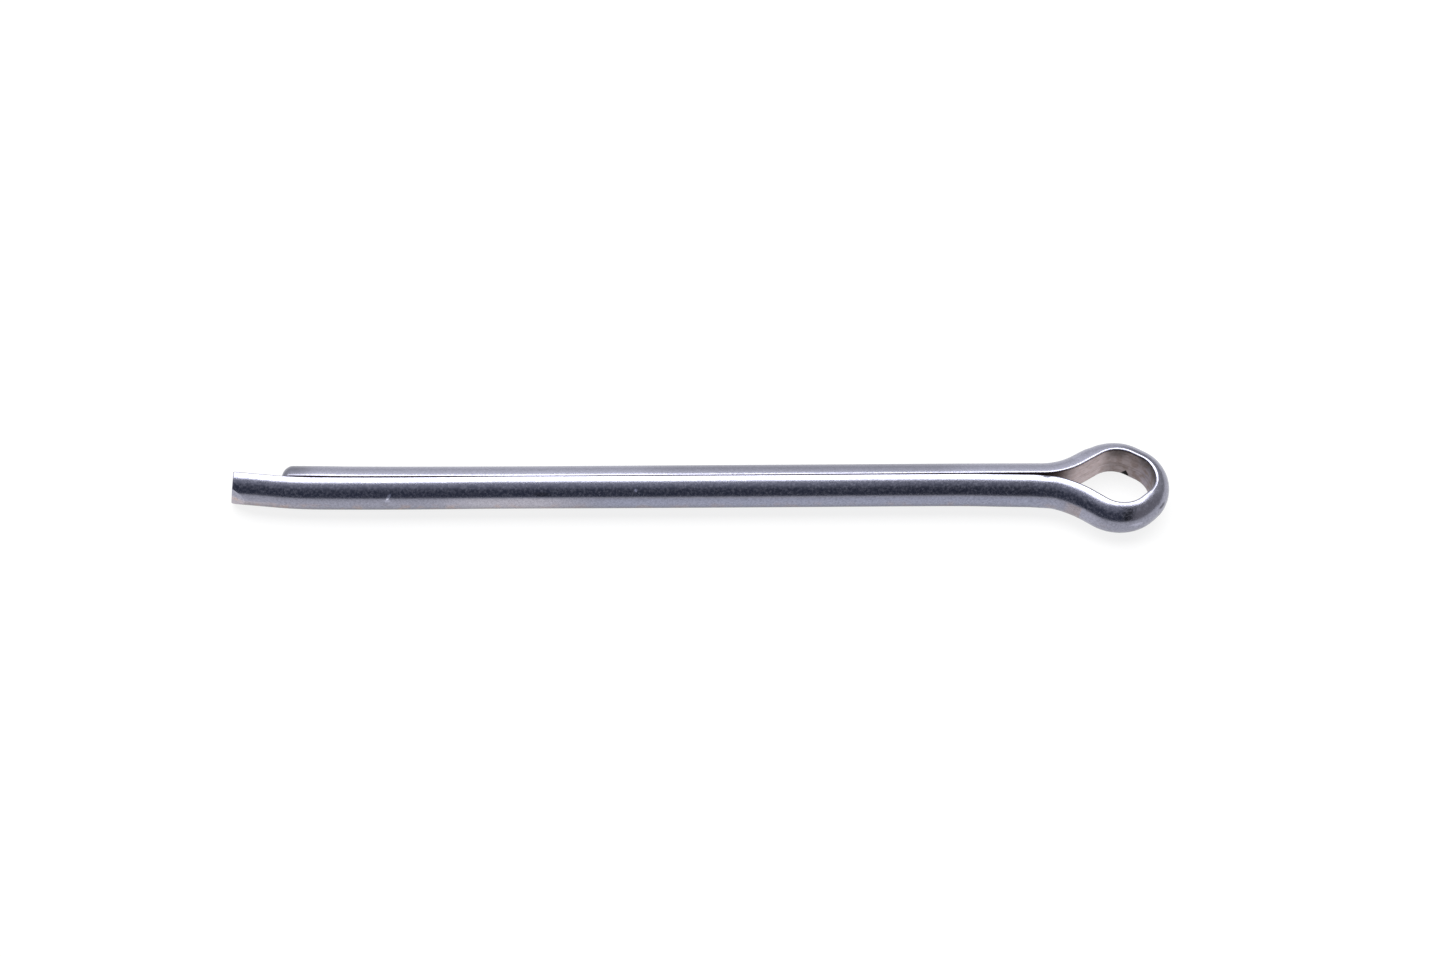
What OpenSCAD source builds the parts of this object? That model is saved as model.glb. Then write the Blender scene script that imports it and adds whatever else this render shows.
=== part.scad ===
// Cotter pin with an extended prong, 5/32 in (about 4 mm) by 2 3/4 in.
// A half-round wire is folded flat to flat into two legs, and its fold is the eye.
// The pin lies on its side: X runs along the shank to the eye, and Z is up through the eye.
// The origin is on the axis of the shank, at the eye's end of its straight, round part.

/* [Shank] */
// Diameter over both legs
shank_d = 3.8; // [3:0.05:4.6]
// Length of the short leg, up to the shoulders of the eye
short_leg = 66.9; // [15:0.1:140]
// How far the long leg reaches past the short one
leg_step = 4.2; // [3:0.1:9]
// Gap between the flats of the legs
leg_gap = 0.08; // [0.06:0.01:0.3]
// Rounding along the edges of the flats
edge_r = 0.16; // [0.08:0.02:0.3]

/* [Eye] */
// Along the shank, from where the flats part to the corners of the two cheeks
cheek_run = 4.6; // [4:0.1:7]
// Along the shank, from where the flats part to the corner of the crown
crown_run = 9.5; // [8.5:0.1:12]
// Height of the corner of the slack cheek over the shank's axis
slack_cheek = 2.95; // [2.7:0.05:4.4]
// Height of the corner of the full cheek over the shank's axis
full_cheek = 3.8; // [2.7:0.05:4.4]
// Radius of the flat where the eye leaves the shank
shoulder_r = 9.5; // [5:0.5:10]
// Radius of the flat at the cheeks
cheek_r = 2.6; // [1.6:0.1:2.8]
// Radius of the flat at the crown
crown_r = 2.2; // [1.4:0.1:2.6]

/* [Drawn wire] */
// Thickness of the wire from the throat to the cheeks
flank_t = 1.78; // [1.5:0.02:1.9]
// Thickness of the wire between the cheeks and the crown
side_t = 1.6; // [1.4:0.02:1.9]
// Thickness of the wire at the crown, which the bend stretches most
crown_t = 1.42; // [1.2:0.02:1.6]

/* [Leg ends] */
// Angle by which the long leg is bent in, past the end of the short one
tip_bend = 8.5; // [2:0.5:14]
// Length of the rounding at the end of the short leg, on its round side
end_round = 0.9; // [0.3:0.1:1.2]
// Depth of the bevel on the long leg's end, on its round side
bevel_depth = 0.9; // [0.2:0.1:1.2]
// Length of that bevel along the leg
bevel_length = 1.5; // [0.4:0.1:2.4]

/* [Hidden] */
$fn = 96;

shank_r = shank_d / 2;
leg_t = shank_r - leg_gap / 2;     // thickness of one leg
lap = 0.002;                       // a straight run reaches this far into the bends beside it
rough = leg_gap / 4;               // the bar's inner side stops this far from its middle
hair = leg_gap / 8;                // the inside of the loop is first cut this much too narrow
step_deg = 4;                      // longest stretch of a bend between two traced points
over = 1;                          // cutters reach this far past what they cut, also in degrees
steel = [0.62, 0.63, 0.66];

// The flats part where the steeper shoulder, which starts at the origin, has its corner
steepest = atan((max(slack_cheek, full_cheek) - leg_gap / 2) / cheek_run);
throat_x = shoulder_r * tan(steepest / 2);
cheek_x = throat_x + cheek_run;
crown_x = throat_x + crown_run;

// The flat runs from the end of the short leg, round the eye, to the long leg.
// All the way, the outside of the loop is on its left.
flat_corners = [
    [-short_leg, leg_gap / 2],
    [throat_x, leg_gap / 2],
    [cheek_x, slack_cheek],
    [crown_x, 0],
    [cheek_x, -full_cheek],
    [throat_x, -leg_gap / 2],
    [-short_leg, -leg_gap / 2]
];
flat_radii = [0, shoulder_r, cheek_r, crown_r, cheek_r, shoulder_r, 0];
runs_t = [leg_t, flank_t, side_t, side_t, flank_t, leg_t];   // thickness on each straight run

function heading(a, b) = (b - a) / norm(b - a);
function left_of(v) = [-v[1], v[0]];
function run_dir(pts, i) = heading(pts[i], pts[i + 1]);
function turn_at(pts, i) =
    let (u = run_dir(pts, i - 1), v = run_dir(pts, i)) atan2(cross(u, v), u * v);
function meet(p, u, q, v) = p + u * cross(q - p, v) / cross(u, v);

// The same corners, with each straight run moved outward by its own amount
function moved(pts, out) = let (last = len(pts) - 1) [
    pts[0] + left_of(run_dir(pts, 0)) * out[0],
    for (i = [1:last - 1])
        let (u = run_dir(pts, i - 1), v = run_dir(pts, i))
        meet(pts[i] + left_of(u) * out[i - 1], u, pts[i] + left_of(v) * out[i], v),
    pts[last] + left_of(run_dir(pts, last - 1)) * out[last - 1]
];

// The radii that keep the bends of a moved route round the same middles
function moved_radii(pts, radii, out) = [
    for (i = [0:len(pts) - 1])
        i == 0 || i == len(pts) - 1 ? 0
            : radii[i] - sign(turn_at(pts, i)) * (out[i - 1] + out[i]) / 2
];

// How much of each run a bend takes up
function set_back(pts, radii, i) =
    i == 0 || i == len(pts) - 1 ? 0 : radii[i] * tan(abs(turn_at(pts, i)) / 2);

// Bend table: [length, 0, 0] for a straight run and [0, radius, turn] for a bend
function bend_table(pts, radii) = [
    for (i = [0:len(pts) - 2]) each [
        [norm(pts[i + 1] - pts[i]) - set_back(pts, radii, i) - set_back(pts, radii, i + 1), 0, 0],
        if (i < len(pts) - 2) [0, radii[i + 1], turn_at(pts, i + 1)]
    ]
];

// The wire is a bar with a flat cut into it, and the bar's axis is shank_r inside its round side.
// The crown's round side has a larger radius, which makes the wire thinner there.
crown_half = abs(turn_at(flat_corners, 3)) / 2;
crown_ease = (side_t - crown_t) / (1 / cos(crown_half) - 1);
round_radii = [0, shoulder_r, cheek_r, crown_r + crown_ease, cheek_r, shoulder_r, 0];
bar_out = [for (t = runs_t) t - shank_r];
bar_corners = moved(flat_corners, bar_out);
bar_radii = moved_radii(flat_corners, round_radii, bar_out);

// The long leg's tip bends in about a point over the end of the short leg.
// Its radius is kept to whole hundredths, so that the bend starts exactly where the leg stops.
tip_r = round(100 * leg_step / (tip_bend * PI / 180)) / 100;
flat_table = concat(bend_table(flat_corners, flat_radii), [[0, tip_r + leg_gap / 2, -tip_bend]]);
bar_table = concat(bend_table(bar_corners, bar_radii), [[0, tip_r, -tip_bend]]);

function turned(v, a) = [v[0] * cos(a) - v[1] * sin(a), v[0] * sin(a) + v[1] * cos(a)];
function spoke(a, row) = turned([0, -sign(row[2]) * row[1]], a);   // from a bend's middle

// Where each row of a bend table starts: [point, direction, row]
function stations(table, p, a = 0, k = 0) =
    k == len(table) ? []
        : let (
            row = table[k],
            s = spoke(a, row),
            end = row[1] == 0 ? p + turned([row[0], 0], a) : p - s + turned(s, row[2])
        )
        concat([[p, a, row]], stations(table, end, a + row[2], k + 1));

// Points along one row of a bend table, from its start up to the start of the next
function trace(p, a, row) =
    row[1] == 0 ? [p]
        : let (s = spoke(a, row), steps = ceil(abs(row[2]) / step_deg))
        [for (i = [0:steps - 1]) p - s + turned(s, row[2] * i / steps)];

// A profile swept along one row, which starts at the origin along X.
// The profile's x points outward and its y points up.
module stretch(row) {
    left = row[2] > 0;
    if (row[1] == 0)
        translate([-lap, 0, 0]) rotate([90, 0, 90]) linear_extrude(row[0] + 2 * lap) children();
    else
        rotate([left ? 0 : 180, 0, 0])
            translate([0, row[1], 0])
                rotate([0, 0, -90])
                    rotate_extrude(angle = abs(row[2]))
                        translate([row[1], 0]) mirror([left ? 1 : 0, 0]) children();
}

// The bar, bent row by row. Its profile is a little less than half of a round.
module bar(k = 0) {
    if (k < len(bar_table)) {
        row = bar_table[k];
        middle = [0, sign(row[2]) * row[1], 0];
        stretch(row)
            intersection() {
                circle(r = shank_r);
                translate([rough, -shank_d]) square(2 * shank_d);
            }
        translate(middle + [row[0], 0, 0]) rotate([0, 0, row[2]]) translate(-middle) bar(k + 1);
    }
}

// What is cut off the bar to leave a flat with rounded edges. It runs past both ends of the wire.
module flat_cut() {
    reach = leg_gap / 2;
    edge_z = shank_r - edge_r;
    table = [
        for (k = [0:len(flat_table) - 1])
            flat_table[k] + (k == 0 ? [over, 0, 0] : k == len(flat_table) - 1 ? [0, 0, -over] : [0, 0, 0])
    ];
    for (s = stations(table, [-short_leg - over, leg_gap / 2]))
        translate(s[0])
            rotate([0, 0, s[1]])
                stretch(s[2])
                    difference() {
                        translate([-reach, -shank_r - over])
                            square([reach + edge_r, 2 * (shank_r + over)]);
                        translate([0, -edge_z]) square([edge_r + over, 2 * edge_z]);
                        for (z = [-edge_z, edge_z]) translate([edge_r, z]) circle(r = edge_r);
                    }
}

// The inside of the loop, a hair narrower than the flats
module loop_inside() {
    out = [for (t = runs_t) -hair];
    table = bend_table(moved(flat_corners, out), moved_radii(flat_corners, flat_radii, out));
    end_x = -short_leg - over;
    end_y = leg_gap / 2 - hair;
    translate([0, 0, -shank_r - over])
        linear_extrude(2 * (shank_r + over))
            polygon([
                for (s = stations(table, [-short_leg, end_y])) each trace(s[0], s[1], s[2]),
                [end_x, -end_y],
                [end_x, end_y]
            ]);
}

// Both ends below are drawn with the leg's end at the origin and the leg along +X

// Rounds the end of a leg on its round side, which is +Y.
// The arc leaves the side of the leg at a slight angle, as a trimmed edge does.
module end_rounding() {
    exit_deg = 15;
    r = 1.5 * end_round;
    rotate([0, 90, 0])
        rotate_extrude(angle = 180)
            difference() {
                translate([shank_r - end_round, -over]) square([end_round + over, end_round + over]);
                translate([shank_r - r * cos(exit_deg), end_round + r * sin(exit_deg)]) circle(r = r);
            }
}

// Bevels the end of a leg on its round side, which is -Y
module end_bevel() {
    size = 4 * shank_d;
    translate([0, bevel_depth - shank_r, 0])
        rotate([0, 0, -atan(bevel_depth / bevel_length)])
            translate([-size / 2, -size, -size / 2])
                cube(size);
}

module cotter_pin() {
    color(steel)
        difference() {
            translate([-short_leg, 0, 0]) bar();
            loop_inside();
            flat_cut();
            translate([-short_leg, 0, 0]) end_rounding();
            translate([-short_leg, tip_r, 0])
                rotate([0, 0, -tip_bend])
                    translate([0, -tip_r, 0])
                        end_bevel();
        }
}

cotter_pin();
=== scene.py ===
import math

import bmesh
import bpy
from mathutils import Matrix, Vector


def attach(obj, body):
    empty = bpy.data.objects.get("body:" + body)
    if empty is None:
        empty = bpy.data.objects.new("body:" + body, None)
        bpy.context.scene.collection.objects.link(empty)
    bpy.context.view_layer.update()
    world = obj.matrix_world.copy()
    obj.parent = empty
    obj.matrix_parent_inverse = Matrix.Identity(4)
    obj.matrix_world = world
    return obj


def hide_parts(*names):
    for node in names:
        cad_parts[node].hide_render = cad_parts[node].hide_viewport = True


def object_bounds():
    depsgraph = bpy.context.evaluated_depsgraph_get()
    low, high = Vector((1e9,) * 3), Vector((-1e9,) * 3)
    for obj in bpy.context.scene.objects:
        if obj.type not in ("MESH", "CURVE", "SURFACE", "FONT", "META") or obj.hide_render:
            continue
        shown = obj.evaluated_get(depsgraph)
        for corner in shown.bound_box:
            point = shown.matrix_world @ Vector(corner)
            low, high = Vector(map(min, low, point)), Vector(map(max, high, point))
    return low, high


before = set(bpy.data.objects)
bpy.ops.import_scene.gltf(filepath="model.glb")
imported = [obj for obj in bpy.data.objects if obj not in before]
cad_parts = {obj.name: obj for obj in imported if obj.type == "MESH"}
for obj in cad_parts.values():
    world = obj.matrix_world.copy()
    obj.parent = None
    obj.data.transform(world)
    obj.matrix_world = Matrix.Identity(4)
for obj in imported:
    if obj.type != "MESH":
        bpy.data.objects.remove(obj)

MM = 0.001
CAD_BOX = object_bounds()

# The wire, in millimetres. X runs along the shank to the eye, and Z is up through the eye.
# A length along the wire is taken on its flat, from the end of the short leg round to the long one.
SHANK_R = 1.9
LEG_GAP = 0.08
SHORT_LEG = 66.83
LEG_EDGE_R, EYE_EDGE_R = 0.2, 0.24   # of the flat's edges
LEG_LIP, EYE_LIP = 0.46, 0.7         # how far those edges turn towards the flat: 1 is all the way
END_ROUND = 0.95                     # of the short leg's end
TIP_ROUND = 0.1                      # of the long leg's end

# The long leg's tip bends in behind the end of the short leg
TIP_BEND = 5.8                       # degrees
TIP_BEND_START = 63.8                # along the shank
TIP_BEND_R = 35.0
TIP_END = 71.4                       # the middle of the long leg's end, along the shank
TIP_SPARE = 0.8                      # the path runs on this far past the tip
SHEAR_SKEW = 0.149                   # how the end's face leans back towards the round side
SHEAR_SLANT = 0.231                  # how it leans back towards the top
SHEAR_RUN = 4.0                      # the rows of the mesh come to lean with it over this length
BEVEL_DEPTH = 0.57                   # as on a square end
BEVEL_LENGTH = 1.5
BEVEL_ROLL = 4                       # degrees above the side of the leg
BEVEL_BLEND = 0.06                   # rounding of the bevel's edges

# The eye: corners of the flat, and the radii that round them
SLACK_SHOULDER = (3.304, 0.04, 7.275)
SLACK_CHEEK = (8.025, 2.931, 2.53)
CROWN = (12.788, 0.035, 2.192)
FULL_CHEEK = (8.189, -3.785, 2.53)
FULL_SHOULDER = (3.075, -0.04, 10.257)

# Thickness of the wire, from the short leg round to the long one
LEG_T = SHANK_R - LEG_GAP / 2
SLACK_FLANK_T, SLACK_CHEEK_T, SLACK_SIDE_T = 1.81, 1.55, 1.56
CROWN_T = 1.45
FULL_SIDE_T, FULL_CHEEK_T, FULL_FLANK_T = 1.73, 1.74, 1.84

# How much thicker it is, inwards, near the ends of the legs and where the full side leaves the
# throat, and how far from there that starts and reaches its full measure
SHORT_SWELL = (0.05, 15, 4)
LONG_SWELL = (0.02, 20, 8)
THROAT_SWELL, THROAT_EASE_IN, THROAT_EASE_OUT = 0.05, (7, 4), (9, 0)

# How far each leg wanders sideways, towards +Y: (distance from the eye, offset)
SHORT_LEG_DRIFT = (
    (0, 0), (4, -0.01), (11, -0.047), (20, -0.09), (29, -0.114), (38, -0.13), (46.5, -0.137),
    (52, -0.12), (60, -0.055), (64, 0.03), (66.83, 0.06),
)
LONG_LEG_DRIFT = (
    (-3.4, 0), (-1.9, -0.11), (-0.5, -0.18), (1.5, -0.145), (3.3, -0.1), (5, -0.05), (7, -0.03),
    (11, -0.027), (20, -0.052), (29, -0.069), (38, -0.08), (46.5, -0.082), (54, -0.13),
    (58, -0.14), (62, -0.12), (66, -0.07), (71.4, -0.04),
)

# Rows of the mesh: round the whole section, on its flat and on the flat's two edges
SECTION_ROWS, FLAT_ROWS, EDGE_ROWS = 96, 16, 12
# Rows along the wire: in each end's cap, close together by each end, and then on from there
CAP_ROWS = 26
END_ZONE, END_ZONE_ROWS = 1.8, 60
LEG_ROWS, EYE_ROWS, TIP_ROWS = 90, 420, 40
BEND_POINTS = 96                     # of the path, on each of its bends
SAME_POINT, NO_LENGTH = 0.2e-6, 0.5e-6   # in metres


# --- Node trees -----------------------------------------------------------------------

class Signal:
    """The output of a node. Sums on it add Math nodes."""

    def __init__(self, net, socket):
        self.net = net
        self.socket = socket

    def out(self, name):
        return Signal(self.net, self.socket.node.outputs[name])

    def __add__(self, other):
        return self.net.math("ADD", self, other)

    def __sub__(self, other):
        return self.net.math("SUBTRACT", self, other)

    def __rsub__(self, other):
        return self.net.math("SUBTRACT", other, self)

    def __mul__(self, other):
        return self.net.math("MULTIPLY", self, other)

    def __truediv__(self, other):
        return self.net.math("DIVIDE", self, other)

    def __abs__(self):
        return self.net.math("ABSOLUTE", self)

    __radd__ = __add__
    __rmul__ = __mul__


class Net:
    """A node tree that is being built."""

    def __init__(self, tree):
        self.tree = tree

    @classmethod
    def in_place_of(cls, owner):
        """An empty tree in a material or a world."""
        owner.use_nodes = True
        owner.node_tree.nodes.clear()
        return cls(owner.node_tree)

    def add(self, kind, settings=None, inputs=None, out=0):
        """A new node of a kind, with its settings, then its sockets' values or links."""
        node = self.tree.nodes.new(kind)
        for name, value in (settings or {}).items():
            if name == "curve":
                self.set_curve(node.mapping, value)
            else:
                setattr(node, name, value)
        for name, value in (inputs or {}).items():
            if isinstance(value, Signal):
                self.tree.links.new(value.socket, node.inputs[name])
            else:
                node.inputs[name].default_value = value
        return Signal(self, node.outputs[out]) if len(node.outputs) else None

    @staticmethod
    def set_curve(mapping, points):
        curve = mapping.curves[0]
        while len(curve.points) < len(points):
            curve.points.new(0.5, 0.5)
        for point, place in zip(curve.points, points):
            point.location = place
        mapping.update()

    def math(self, operation, *values, clamp=False):
        settings = {"operation": operation, "use_clamp": clamp}
        return self.add("ShaderNodeMath", settings, dict(enumerate(values)))

    def lowest(self, a, b):
        return self.math("MINIMUM", a, b)

    def highest(self, a, b):
        return self.math("MAXIMUM", a, b)

    def vector(self, operation, *values):
        return self.add("ShaderNodeVectorMath", {"operation": operation}, dict(enumerate(values)))

    def combine(self, x, y, z):
        return self.add("ShaderNodeCombineXYZ", None, {"X": x, "Y": y, "Z": z})

    def separate(self, vector):
        parts = self.add("ShaderNodeSeparateXYZ", None, {0: vector})
        return parts.out("X"), parts.out("Y"), parts.out("Z")

    def ramp(self, value, start, end, low=0.0, high=1.0, kind="LINEAR"):
        """Runs from low to high while the value runs from start to end."""
        names = ("Value", "From Min", "From Max", "To Min", "To Max")
        inputs = dict(zip(names, (value, start, end, low, high)))
        return self.add("ShaderNodeMapRange", {"interpolation_type": kind}, inputs)

    def fade(self, value, start, end, low=0.0, high=1.0):
        """A ramp that eases in and out."""
        return self.ramp(value, start, end, low, high, kind="SMOOTHSTEP")

    def noise(self, vector, scale, detail):
        inputs = {"Vector": vector, "Scale": scale, "Detail": detail}
        return self.add("ShaderNodeTexNoise", None, inputs)

    def mix(self, factor, a, b):
        """Runs from colour a to colour b. A colour is three numbers or a signal."""
        a, b = (c if isinstance(c, Signal) else (*c, 1) for c in (a, b))
        return self.add("ShaderNodeMix", {"data_type": "RGBA"}, {0: factor, 6: a, 7: b}, out=2)

    def toned(self, colour, tone):
        return self.vector("MULTIPLY", colour, self.combine(tone, tone, tone))


# --- The path of the flat -------------------------------------------------------------

def flat_path():
    """Corners of the flat's path with their radii, from the short leg's end to the long one's."""
    half_gap = LEG_GAP / 2
    tip_set_back = TIP_BEND_R * math.tan(math.radians(TIP_BEND) / 2)
    tip_corner = -TIP_BEND_START - tip_set_back
    path_end = TIP_END + TIP_SPARE
    tip_rise = (path_end + tip_corner) * math.tan(math.radians(TIP_BEND))
    corners = [
        (-SHORT_LEG, half_gap, 0),
        SLACK_SHOULDER,
        SLACK_CHEEK,
        CROWN,
        FULL_CHEEK,
        FULL_SHOULDER,
        (tip_corner, -half_gap, TIP_BEND_R),
        (-path_end, -half_gap + tip_rise, 0),
    ]
    return [(Vector((x, y)), radius) for x, y, radius in corners]


def turn_at(corners, i):
    before = corners[i][0] - corners[i - 1][0]
    after = corners[i + 1][0] - corners[i][0]
    return math.atan2(before.x * after.y - before.y * after.x, before.dot(after))


def stations(corners):
    """Length along the path to the start and the end of the bend at each corner."""
    places = []
    along = 0.0
    used = 0.0
    for i, (corner, radius) in enumerate(corners):
        if i:
            along += (corner - corners[i - 1][0]).length - used
        if not radius:
            places.append((along, along))
            used = 0.0
            continue
        turn = abs(turn_at(corners, i))
        set_back = radius * math.tan(turn / 2)
        start = along - set_back
        along = start + radius * turn
        places.append((start, along))
        used = set_back
    return places


PATH = flat_path()
PLACES = stations(PATH)
WIRE_LENGTH = PLACES[-1][1] - TIP_SPARE


def on_short(from_eye):
    """Length along the wire to a place on the short leg."""
    return SHORT_LEG - from_eye


def on_long(from_eye):
    """Length along the wire to a place on the long leg."""
    return WIRE_LENGTH - TIP_END + from_eye


def path_curve():
    """The path as a curve object whose points hold the radii of the bends."""
    curve = bpy.data.curves.new("wire_path", "CURVE")
    curve.dimensions = "3D"
    spline = curve.splines.new("POLY")
    spline.points.add(len(PATH) - 1)
    for point, (corner, radius) in zip(spline.points, PATH):
        point.co = (corner.x * MM, corner.y * MM, 0, 1)
        point.radius = radius * MM
    return bpy.data.objects.new("wire_path", curve)


# --- The bent wire --------------------------------------------------------------------

WIRE_SIZES = {
    "Shank radius": SHANK_R * MM,
    "Leg edge radius": LEG_EDGE_R * MM,
    "Eye edge radius": EYE_EDGE_R * MM,
    "Leg lip": LEG_LIP,
    "Eye lip": EYE_LIP,
    "End rounding": END_ROUND * MM,
    "Tip rounding": TIP_ROUND * MM,
    "Shear skew": SHEAR_SKEW,
    "Shear slant": SHEAR_SLANT,
    "Bevel depth": BEVEL_DEPTH * MM,
    "Bevel length": BEVEL_LENGTH * MM,
    "Bevel roll": math.radians(BEVEL_ROLL),
}


def wire_tree():
    """Geometry Nodes that sweep a half-round section along the path and shape its ends."""
    tree = bpy.data.node_groups.new("bent_wire", "GeometryNodeTree")
    tree.interface.new_socket("Path", in_out="INPUT", socket_type="NodeSocketGeometry")
    for name in WIRE_SIZES:
        tree.interface.new_socket(name, in_out="INPUT", socket_type="NodeSocketFloat")
    tree.interface.new_socket("Steel", in_out="INPUT", socket_type="NodeSocketMaterial")
    tree.interface.new_socket("Wire", in_out="OUTPUT", socket_type="NodeSocketGeometry")
    net = Net(tree)
    given = net.add("NodeGroupInput")
    shank_r = given.out("Shank radius")
    total = WIRE_LENGTH * MM
    eye_start, eye_end = PLACES[1][0], PLACES[5][1]
    tip_start = PLACES[6][0]

    # A flat grid, with a row for each place along the wire. Its other side runs round the section.
    zones = (
        (CAP_ROWS, 0.0),
        (END_ZONE_ROWS, END_ZONE),
        (LEG_ROWS, eye_start - END_ZONE),
        (EYE_ROWS, eye_end - eye_start),
        (LEG_ROWS, tip_start - eye_end),
        (TIP_ROWS, WIRE_LENGTH - tip_start - END_ZONE),
        (END_ZONE_ROWS, END_ZONE),
        (CAP_ROWS, 0.0),
    )
    rows = sum(count for count, _ in zones)
    grid = net.add("GeometryNodeMeshGrid", None, {
        "Size X": float(rows), "Size Y": 2.0, "Vertices X": rows + 1, "Vertices Y": SECTION_ROWS + 1,
    })
    grid_x, grid_y, _ = net.separate(net.add("GeometryNodeInputPosition"))
    row = grid_x + rows / 2
    side = net.math("SIGN", grid_y)
    half = 1 - abs(grid_y)    # 0 in the middle of the flat, 1 in the middle of the round side

    along = None
    first = 0
    for count, length in zones:
        if length:
            steps = net.lowest(net.highest(row - first, 0.0), float(count))
            run = steps * (length * MM / count)
            along = run if along is None else along + run
        first += count
    cap = net.ramp(row, 0.0, float(CAP_ROWS)) * net.ramp(row, float(rows), float(rows - CAP_ROWS))

    def curve(points):
        """A smooth curve through points of length along the wire and a value from 0 to 1."""
        places = [(length / WIRE_LENGTH, value) for length, value in points]
        return net.add("ShaderNodeFloatCurve", {"curve": places}, {"Value": along / total})

    def bend(i):
        return sum(PLACES[i]) / 2

    def straight(i):
        return (PLACES[i][1] + PLACES[i + 1][0]) / 2

    # Thickness along the wire
    most = 2.0
    thick = (
        (0.0, LEG_T), (eye_start, LEG_T), (straight(1), SLACK_FLANK_T), (bend(2), SLACK_CHEEK_T),
        (straight(2), SLACK_SIDE_T), (bend(3), CROWN_T), (straight(3), FULL_SIDE_T),
        (bend(4), FULL_CHEEK_T), (straight(4), FULL_FLANK_T), (eye_end, LEG_T), (WIRE_LENGTH, LEG_T),
    )
    thickness = curve([(length, t / most) for length, t in thick]) * (most * MM)

    # Sideways drift along the wire
    drifts = [(on_short(d), y) for d, y in reversed(SHORT_LEG_DRIFT)]
    drifts += [(on_long(d), y) for d, y in LONG_LEG_DRIFT]
    drift = (curve([(length, 0.5 + y) for length, y in drifts]) - 0.5) * MM

    def swell(size, start, full):
        """Extra thickness that grows between two places along the wire."""
        return net.fade(along, start * MM, full * MM, 0.0, size * MM)

    short_swell = swell(*SHORT_SWELL)
    size, start, full = LONG_SWELL
    long_swell = swell(size, WIRE_LENGTH - start, WIRE_LENGTH - full)
    throat_swell = net.lowest(
        swell(THROAT_SWELL, *(eye_end - d for d in THROAT_EASE_IN)),
        swell(THROAT_SWELL, *(eye_end + d for d in THROAT_EASE_OUT)),
    )
    # The round side stays where it is, so the flat drifts by as much as the wire swells
    long_swell = long_swell + throat_swell
    drift = drift - short_swell + long_swell
    thickness = thickness + short_swell + long_swell

    # Both ends are rounded on the round side only: the bar's radius falls towards them
    at_tip = net.math("GREATER_THAN", along, total / 2)
    end_rounding = given.out("End rounding")
    rounding = end_rounding + (given.out("Tip rounding") - end_rounding) * at_tip
    short = net.highest(rounding - net.lowest(along, total - along), 0.0)
    drop = rounding - net.math("SQRT", net.highest(rounding * rounding - short * short, 0.0))
    bar_r = shank_r - drop
    bar_x = thickness - shank_r

    # The flat's edges are rounded more in the eye than on the legs
    ease = 4
    in_eye = net.lowest(
        net.fade(along, eye_start * MM, (eye_start + ease) * MM),
        net.fade(along, eye_end * MM, (eye_end - ease) * MM),
    )
    leg_edge_r, leg_lip = given.out("Leg edge radius"), given.out("Leg lip")
    edge_r = leg_edge_r + (given.out("Eye edge radius") - leg_edge_r) * in_eye
    lip = leg_lip + (given.out("Eye lip") - leg_lip) * in_eye

    # The section, over half its outline: flat, rounded edge, round side
    flat_share = FLAT_ROWS / SECTION_ROWS
    edge_share = (FLAT_ROWS + EDGE_ROWS) / SECTION_ROWS
    flat_k = net.ramp(half, 0.0, flat_share)
    edge_k = net.ramp(half, flat_share, edge_share)
    round_k = net.ramp(half, edge_share, 1.0)
    on_round = net.math("GREATER_THAN", half, edge_share)
    inner_r = bar_r - edge_r
    edge_x = edge_r * lip
    aside = edge_x - bar_x
    edge_z = net.math("SQRT", inner_r * inner_r - aside * aside)
    edge_start = math.pi - net.math("ARCCOSINE", lip)
    edge_end = net.math("ARCTAN2", edge_z, aside)
    angle = edge_start + (edge_end - edge_start) * edge_k - edge_end * round_k

    def either(a, b):
        return a + (b - a) * on_round

    arc_r = either(edge_r, bar_r)
    out = either(edge_x, bar_x) + arc_r * net.math("COSINE", angle)
    up = (either(edge_z, 0.0) + arc_r * net.math("SINE", angle)) * flat_k * side

    # A cap's rows shrink to a point in the middle of the end
    heart = (bar_x + bar_r) * 0.5
    out = heart + (out - heart) * cap
    up = up * cap

    # The long leg is sheared on a slant, and the bevel holds each point back to its plane
    lean = out * given.out("Shear skew") + up * given.out("Shear slant")
    sheared = along - lean * net.fade(along, total - SHEAR_RUN * MM, total)
    roll, depth = given.out("Bevel roll"), given.out("Bevel depth")
    reach = (out - bar_x) * net.math("COSINE", roll) + up * net.math("SINE", roll)
    bevel_at = total - (reach - shank_r + depth) * (given.out("Bevel length") / depth)
    held = net.math("SMOOTH_MIN", sheared, bevel_at, BEVEL_BLEND * MM)

    # Each point goes to its place on the path
    path = net.add(
        "GeometryNodeFilletCurve", {"mode": "POLY"},
        {"Curve": given.out("Path"), "Count": BEND_POINTS, "Radius": net.add("GeometryNodeInputRadius")},
    )
    sample = net.add(
        "GeometryNodeSampleCurve", {"mode": "LENGTH", "use_all_curves": True},
        {"Curves": path, "Length": held},
    )
    outward = net.vector("CROSS_PRODUCT", (0.0, 0.0, 1.0), sample.out("Tangent"))
    scaled = net.add("ShaderNodeVectorMath", {"operation": "SCALE"}, {0: outward, "Scale": out})
    spot = net.vector("ADD", net.vector("ADD", sample.out("Position"), scaled), net.combine(0.0, drift, up))

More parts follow.
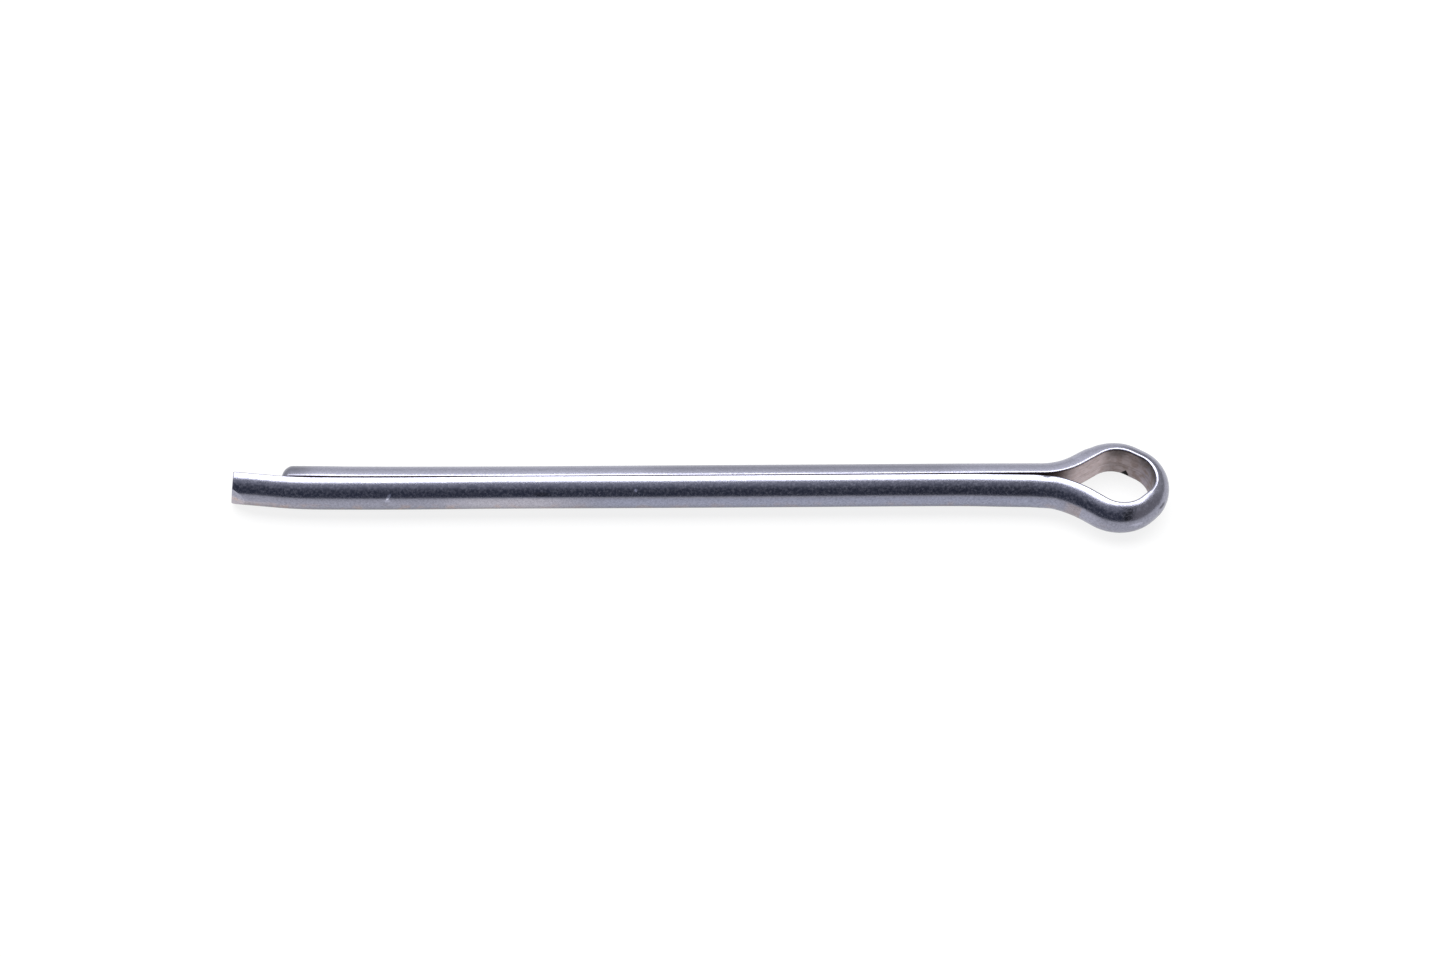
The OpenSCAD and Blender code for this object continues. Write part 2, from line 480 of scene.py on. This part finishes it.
    # The fields are read from the grid, so what they say is stored before the grid is bent
    mesh = net.add(
        "GeometryNodeStoreNamedAttribute", {"data_type": "FLOAT_VECTOR", "domain": "POINT"},
        {"Geometry": grid, "Name": "unbent", "Value": net.combine(held, out, up)},
    )
    mesh = net.add("GeometryNodeSetPosition", None, {"Geometry": mesh, "Position": spot})
    mesh = net.add("GeometryNodeMergeByDistance", None, {"Geometry": mesh, "Distance": SAME_POINT})
    mesh = net.add("GeometryNodeSetShadeSmooth", None, {"Geometry": mesh, "Shade Smooth": True})
    mesh = net.add("GeometryNodeRealizeInstances", None, {"Geometry": mesh})
    mesh = net.add("GeometryNodeSetMaterial", None, {"Geometry": mesh, "Material": given.out("Steel")})
    net.add("NodeGroupOutput", None, {0: mesh})
    return tree


def cotter_pin(steel):
    path = path_curve()
    bpy.context.scene.collection.objects.link(path)
    modifier = path.modifiers.new("bent_wire", "NODES")
    modifier.node_group = wire_tree()
    values = {**WIRE_SIZES, "Steel": steel}
    for item in modifier.node_group.interface.items_tree:
        if item.item_type == "SOCKET" and item.name in values:
            modifier[item.identifier] = values[item.name]
    evaluated = path.evaluated_get(bpy.context.evaluated_depsgraph_get())
    mesh = bpy.data.meshes.new_from_object(evaluated)
    bpy.data.objects.remove(path)
    mesh.name = "cotter_pin_wire"
    clean_faces(mesh)
    pin = bpy.data.objects.new("cotter_pin_wire", mesh)
    bpy.context.scene.collection.objects.link(pin)
    return pin


def clean_faces(mesh):
    """Drops edges of no length, and turns the faces outwards."""
    work = bmesh.new()
    work.from_mesh(mesh)
    bmesh.ops.dissolve_degenerate(work, edges=work.edges, dist=NO_LENGTH)
    bmesh.ops.recalc_face_normals(work, faces=work.faces)
    work.to_mesh(mesh)
    work.free()


# --- Steel ----------------------------------------------------------------------------

# Spots on the round side. Each is brighter or darker by a share, and has its length along the
# wire, its height, its half length and half height, and its turn in degrees.
SPOTS = (
    (2.0, on_long(57.05), 1.02, 0.3, 0.11, -48),      # a nick, and its burr
    (0.35, on_long(57.2), 0.7, 0.3, 0.12, 0),
    (1.8, on_long(35.07), 1.41, 0.12, 0.1, 0),
    (-0.4, on_long(43.4), 1.15, 0.7, 0.16, 0),
    (0.4, 83.9, 0.49, 0.34, 0.15, 0),
    (-0.6, 81.7, 0.75, 0.26, 0.14, 0),
    (0.15, 72.0, 1.6, 0.5, 0.2, 0),
)
# The bending die has left a pale mark that ends sharply, and a stain that starts there.
# Each fades in or out between two lengths along the wire.
DIE_MARK_START, DIE_MARK_END, STAIN_END = (85.4, 86.8), (87.62, 87.72), (89.8, 88.8)
# Lines that drawing has left on the flat: (height, how dark)
DRAWN_LINES = ((-0.35, 0.22), (-0.7, 0.16))
DIRT = (76.76, -1.6, 0.37, 0.58)     # length along the wire, height, half length and half height

ROUND_STEEL = (0.296, 0.298, 0.368)
LIGHT_STEEL = (0.305, 0.296, 0.34)
COOL_STEEL = (0.288, 0.3, 0.39)
HANDLED_STEEL = (0.335, 0.295, 0.315)
RUSTY_STEEL = (0.39, 0.3, 0.28)
WALL_STEEL = (0.36, 0.306, 0.313)
THROAT_STEEL = (0.36, 0.25, 0.25)
CROWN_STEEL = (0.35, 0.315, 0.37)
STAINED_STEEL = (0.4, 0.315, 0.3)


class Wire:
    """Places on the wire as a material knows them, in millimetres."""

    def __init__(self, net):
        self.net = net
        self.place = net.add("ShaderNodeTexCoord").out("Object")
        unbent = net.add("ShaderNodeAttribute", {"attribute_name": "unbent"}, out="Vector")
        self.unbent = net.vector("MULTIPLY", unbent, (1 / MM,) * 3)
        self.along, self.out, self.up = net.separate(self.unbent)

    def grain(self, scale, detail):
        """Even grain, from about -1 to 1."""
        return (self.net.noise(self.place, scale, detail) - 0.5) * 2.0

    def stretch(self, start, end, fade):
        """1 between two places along the wire, fading out over a length before and after."""
        before = self.net.fade(self.along, start - fade, start)
        after = self.net.fade(self.along, end + fade, end)
        return self.net.lowest(before, after)

    def spot(self, place, height, half_length, half_height, turn=0.0, measured=None):
        """1 within a small ellipse on the wire, fading out at its rim."""
        soft = 0.4
        ahead, above = self.along - place, (measured or self.up) - height
        cos, sin = math.cos(math.radians(turn)), math.sin(math.radians(turn))
        far = (ahead * cos + above * sin) / half_length
        wide = (above * cos - ahead * sin) / half_height
        return self.net.fade(self.net.math("SQRT", far * far + wide * wide), 1 + soft, 1 - soft)


def marked(tone, strength, mark):
    return tone * (1 + mark * strength)


def round_finish(net, wire):
    """Tone and colour of the round side."""
    along, out, up = wire.along, wire.out, wire.up

    # It is lighter and duller in broad patches
    lighter = wire.stretch(on_long(44.5), on_long(48.5), 6) * net.fade(up, 1.0, 0.7)
    duller = wire.stretch(on_short(31), on_short(9), 5) * net.fade(up, -0.4, 0.2)
    trimmed = net.fade(along, 3.6, 1.2)
    tone = (1 + lighter * 0.38) * (1 - duller * 0.2) * (1 - trimmed * 0.4)

    # Marks
    lower = net.fade(up, 0.95, 0.7) * net.ramp(out, 0.3, 0.6)
    die_mark = net.ramp(along, *reversed(DIE_MARK_END)) * net.fade(along, *DIE_MARK_START) * lower
    stain = net.ramp(along, *DIE_MARK_END) * net.fade(along, *STAIN_END) * lower
    handled = net.fade(along, on_long(62), on_long(70)) * net.fade(up, 0.4, -0.1)
    tone = marked(tone, 0.16, die_mark)
    tone = marked(tone, 0.3, handled)
    for strength, *where in SPOTS:
        tone = marked(tone, strength, wire.spot(*where))
    scuff = wire.spot(91.9, 0.15, 0.36, 0.09, measured=out) * net.ramp(up, 1.0, 1.5)
    tone = marked(tone, -0.75, scuff)

    # The bevel on the tip is bright and bare
    roll = math.radians(BEVEL_ROLL)
    bar_x = LEG_T + LONG_SWELL[0] - SHANK_R
    reach = (out - bar_x) * math.cos(roll) + up * math.sin(roll)
    bevel_at = WIRE_LENGTH - (reach - SHANK_R + BEVEL_DEPTH) * (BEVEL_LENGTH / BEVEL_DEPTH)
    tone = marked(tone, 0.35, net.ramp(along - bevel_at, -0.06, -0.02))

    # A faint rusty tint lies in patches along the bottom of the long leg, most of all by the tip
    rusty = net.fade(net.noise(wire.unbent, 0.9, 2.0), 0.5, 0.68) * net.fade(up, 0.5, -0.4)
    rusty = rusty * net.ramp(along, on_long(40), on_long(64), 0.35, 1.0)
    cooler = wire.stretch(on_long(0), on_long(36), 5) * net.fade(up, 0.9, 0.6)
    colour = net.mix(lighter, ROUND_STEEL, LIGHT_STEEL)
    colour = net.mix(cooler, colour, COOL_STEEL)
    colour = net.mix(stain * 0.75 + handled * 0.7, colour, HANDLED_STEEL)
    colour = net.mix(rusty, colour, RUSTY_STEEL)
    return tone, colour


def flat_finish(net, wire):
    """Tone and colour of the flat, which is the inner wall of the eye."""
    along, up = wire.along, wire.up

    # It is dark in the throat, light on the slack flank and dull round the crown, and past the flank it carries
    # painted shade along the top of the wall under the rim
    in_throat = net.fade(along, 70.6, 69.2)
    on_flank = wire.stretch(71.6, 73.9, 1.5)
    past_flank = net.fade(along, 73.9, 75.5)
    past_cheek = net.fade(along, 76.5, 80.0)
    on_cheek = wire.stretch(76.7, 77.3, 0.7)
    # Painted shade: past the flank the top of the wall darkens under the rim, less so on the cheek
    shade_under_rim = net.fade(up, 0.0, 1.5) * past_flank * (1 - on_cheek * 0.6)
    by_floor = net.fade(up, -0.7, -1.4) * past_cheek
    tone = (1 + on_flank * 0.65) * (1 - in_throat * 0.5) * (1 - past_flank * 0.1) * (1 - past_cheek * 0.15)
    tone = tone * (1 - shade_under_rim * 0.6) * (1 + by_floor * 0.3)

    # Drawing has left lengthwise lines on it
    drawn = net.vector("MULTIPLY", wire.unbent, (0.35, 0.0, 4.0))
    tone = tone * (1 + (net.noise(drawn, 1.0, 3.0) - 0.5) * 0.5)
    for height, depth in DRAWN_LINES:
        tone = tone * (1 - net.fade(abs(up - height), 0.09, 0.02) * depth)

    stains = net.fade(net.noise(wire.unbent, 1.3, 3.0), 0.42, 0.62)
    stains = stains * net.ramp(along, 72.0, 78.0, 0.4, 1.0) * net.ramp(along, on_long(4), on_long(-4))
    tone = marked(tone, -0.32, stains)

    place, height, half_length, half_height = DIRT
    dirt = abs(along - place) / half_length + abs(up - height) / half_height
    tone = tone * net.ramp(dirt, 0.85, 1.1, 0.008, 1.0)

    colour = net.mix(in_throat, WALL_STEEL, THROAT_STEEL)
    colour = net.mix(past_cheek, colour, CROWN_STEEL)
    colour = net.mix(stains * 0.8, colour, STAINED_STEEL)
    return tone, colour


def drawn_steel():
    material = bpy.data.materials.new("drawn_steel")
    net = Net.in_place_of(material)
    wire = Wire(net)
    flat = net.fade(wire.out, 0.03, 0.006)
    round_tone, round_colour = round_finish(net, wire)
    flat_tone, flat_colour = flat_finish(net, wire)
    tone = round_tone + (flat_tone - round_tone) * flat
    tone = (1 + wire.grain(4200.0, 1.0) * 0.16) * tone
    colour = net.toned(net.mix(flat, round_colour, flat_colour), tone)

    # Fine grain scatters a part of the sheen
    bump = net.add("ShaderNodeBump", None, {
        "Height": net.noise(wire.place, 6000.0, 1.0), "Strength": 0.15, "Distance": 0.02 * MM,
    })
    sheen = net.add("ShaderNodeBsdfPrincipled", None, {
        "Base Color": colour, "Metallic": 1.0, "Roughness": net.ramp(flat, 0.0, 1.0, 0.22, 0.5), "Normal": bump,
    })
    haze = net.add("ShaderNodeBsdfPrincipled", None, {
        "Base Color": colour, "Metallic": 1.0, "Roughness": 0.7,
    })
    dull = net.math("ADD", 0.1, wire.grain(4600.0, 2.0) * 0.6, clamp=True)
    shader = net.add("ShaderNodeMixShader", None, {0: dull, 1: sheen, 2: haze})
    net.add("ShaderNodeOutputMaterial", None, {"Surface": shader})
    return material


# --- Studio ---------------------------------------------------------------------------

def white_table(floor_z):
    size = 1.5
    corners = [(x * size, y * size, floor_z) for x, y in ((-1, -1), (1, -1), (1, 1), (-1, 1))]
    mesh = bpy.data.meshes.new("table")
    mesh.from_pydata(corners, [], [(0, 1, 2, 3)])
    table = bpy.data.objects.new("table", mesh)
    bpy.context.scene.collection.objects.link(table)
    material = bpy.data.materials.new("white_table")
    net = Net.in_place_of(material)
    matt = net.add("ShaderNodeBsdfDiffuse", None, {"Color": (0.9, 0.9, 0.91, 1)})
    # White to the camera and to mirrors, but in mirrors it carries painted shade towards the front and a
    # painted shadow under the legs
    rays = net.add("ShaderNodeLightPath")
    mirrored = rays.out("Is Glossy Ray")
    x, y, _ = net.separate(net.add("ShaderNodeTexCoord").out("Object"))
    mirror_shade_in_front = net.ramp(y, -4 * MM, -14 * MM, 0.0, 0.16) + net.ramp(y, -14 * MM, -50 * MM, 0.0, 0.14)
    mirror_shadow_under_legs = net.ramp(y, -2.9 * MM, -1.9 * MM) * net.ramp(y, 1.9 * MM, 0.5 * MM)
    mirror_shadow_under_legs = mirror_shadow_under_legs * net.ramp(x, 2 * MM, 0.0, 0.0, 0.3)
    shade = 1 - mirrored * (mirror_shade_in_front + mirror_shadow_under_legs)
    glow = net.add("ShaderNodeEmission", None, {"Color": net.combine(shade, shade, shade), "Strength": 1.0})
    # The rest of the white is matt, which keeps the shadow
    glow_share = 0.84
    glowing = net.highest(rays.out("Is Camera Ray"), mirrored) * glow_share
    shader = net.add("ShaderNodeMixShader", None, {0: glowing, 1: matt, 2: glow})
    net.add("ShaderNodeOutputMaterial", None, {"Surface": shader})
    mesh.materials.append(material)


def studio_world():
    world = bpy.data.worlds.new("studio")
    bpy.context.scene.world = world
    net = Net.in_place_of(world)
    right, back, height = net.separate(net.add("ShaderNodeTexCoord").out("Generated"))
    high = net.ramp(height, 0.0, 1.0)

    # The room is dark, most of all beside a gap on the right, and paler overhead and far right
    room = net.mix(net.fade(high, 0.66, 1.0), (0.063, 0.073, 0.105), (0.35, 0.37, 0.43))
    gap = net.lowest(net.fade(right, 0.1, 0.22), net.fade(right, 0.5, 0.38))
    room = net.toned(room, 1 - gap * 0.85)
    room = net.mix(net.fade(right, 0.38, 0.56), room, (0.33, 0.32, 0.33))
    # A pale backdrop stands behind, and it ends on the right
    backdrop = net.mix(high, (0.86,) * 3, (1.6,) * 3)
    backdrop = net.toned(backdrop, 1 - net.fade(right, 0.15, 0.42) * 0.58)
    colour = net.mix(net.fade(back, -0.1, 0.25), room, backdrop)
    # The camera sees white
    seen = net.add("ShaderNodeLightPath").out("Is Camera Ray")
    colour = net.mix(seen, colour, (1, 1, 1))
    light = net.add("ShaderNodeBackground", None, {"Color": colour, "Strength": 1.0})
    net.add("ShaderNodeOutputWorld", None, {"Surface": light})


def softbox():
    """A rectangle of light overhead, in metres."""
    height = 0.30
    middle_x, wide = -0.06, 0.54
    near_y, far_y = -0.006, 0.25
    radiance = 4.5
    light = bpy.data.lights.new("softbox", "AREA")
    light.shape = "RECTANGLE"
    light.size = wide
    light.size_y = far_y - near_y
    light.energy = radiance * math.pi * light.size * light.size_y
    lamp = bpy.data.objects.new("softbox", light)
    lamp.location = (middle_x, (near_y + far_y) / 2, height)
    bpy.context.scene.collection.objects.link(lamp)


def camera():
    target = Vector((-27.379, 0.768, 0)) * MM
    distance = 178.3 * MM
    elevation = math.radians(56.82)
    azimuth = math.radians(-0.294)
    level = math.cos(elevation)
    back = Vector((math.sin(azimuth) * level, -math.cos(azimuth) * level, math.sin(elevation)))
    data = bpy.data.cameras.new("camera")
    data.sensor_width = 36
    data.lens = 49.33
    data.clip_start = 0.005
    data.clip_end = 10
    viewer = bpy.data.objects.new("camera", data)
    viewer.location = target + back * distance
    viewer.rotation_euler = (-back).to_track_quat("-Z", "Y").to_euler()
    bpy.context.scene.collection.objects.link(viewer)
    bpy.context.scene.camera = viewer


pin = cotter_pin(drawn_steel())
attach(pin, "root")
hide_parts("cotter_pin")
white_table(CAD_BOX[0].z - 0.01 * MM)
studio_world()
softbox()
camera()
bpy.context.scene.view_settings.view_transform = "Standard"
